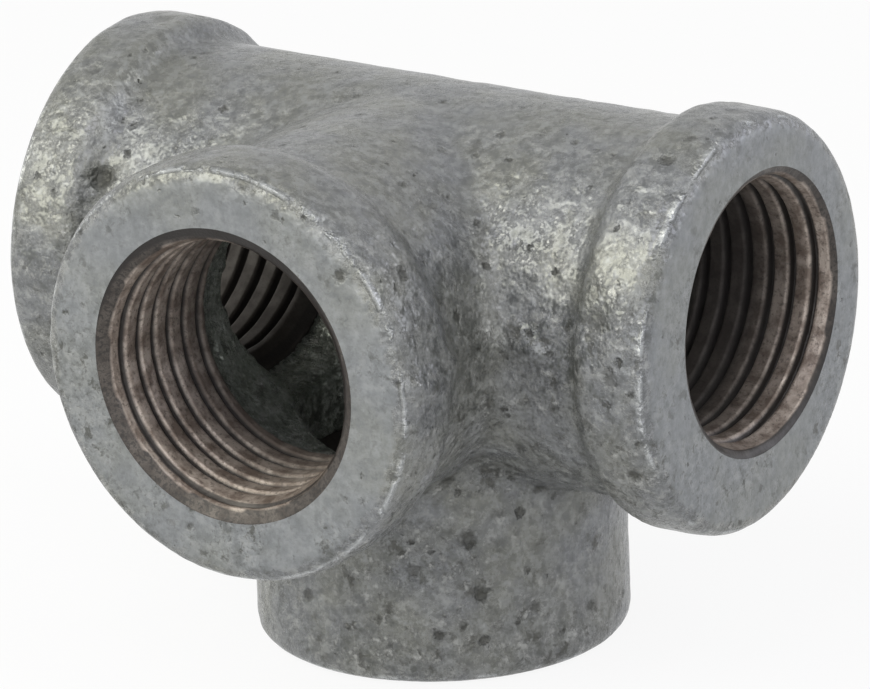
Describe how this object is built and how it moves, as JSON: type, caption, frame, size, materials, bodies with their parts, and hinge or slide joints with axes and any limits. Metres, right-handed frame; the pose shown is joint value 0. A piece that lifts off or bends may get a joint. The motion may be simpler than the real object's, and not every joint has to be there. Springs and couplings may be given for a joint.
{
  "type": "side outlet pipe tee",
  "caption": "Galvanized malleable iron side outlet pipe tee: a banded straight run with a threaded outlet to the side and another below, cast as a single fitting.",
  "frame": {"origin": "centre of the bottom outlet's face, which the fitting stands on", "axes": "+X along the run, -Y out of the side outlet, -Z out of the bottom outlet"},
  "size_m": [0.056, 0.0433, 0.0438],
  "materials": {
    "galvanized_iron": "hot dip galvanized, dull grey with grime in the hollows"
  },
  "bodies": {
    "root": {"tee_casting": "galvanized_iron"}
  },
  "joints": []
}
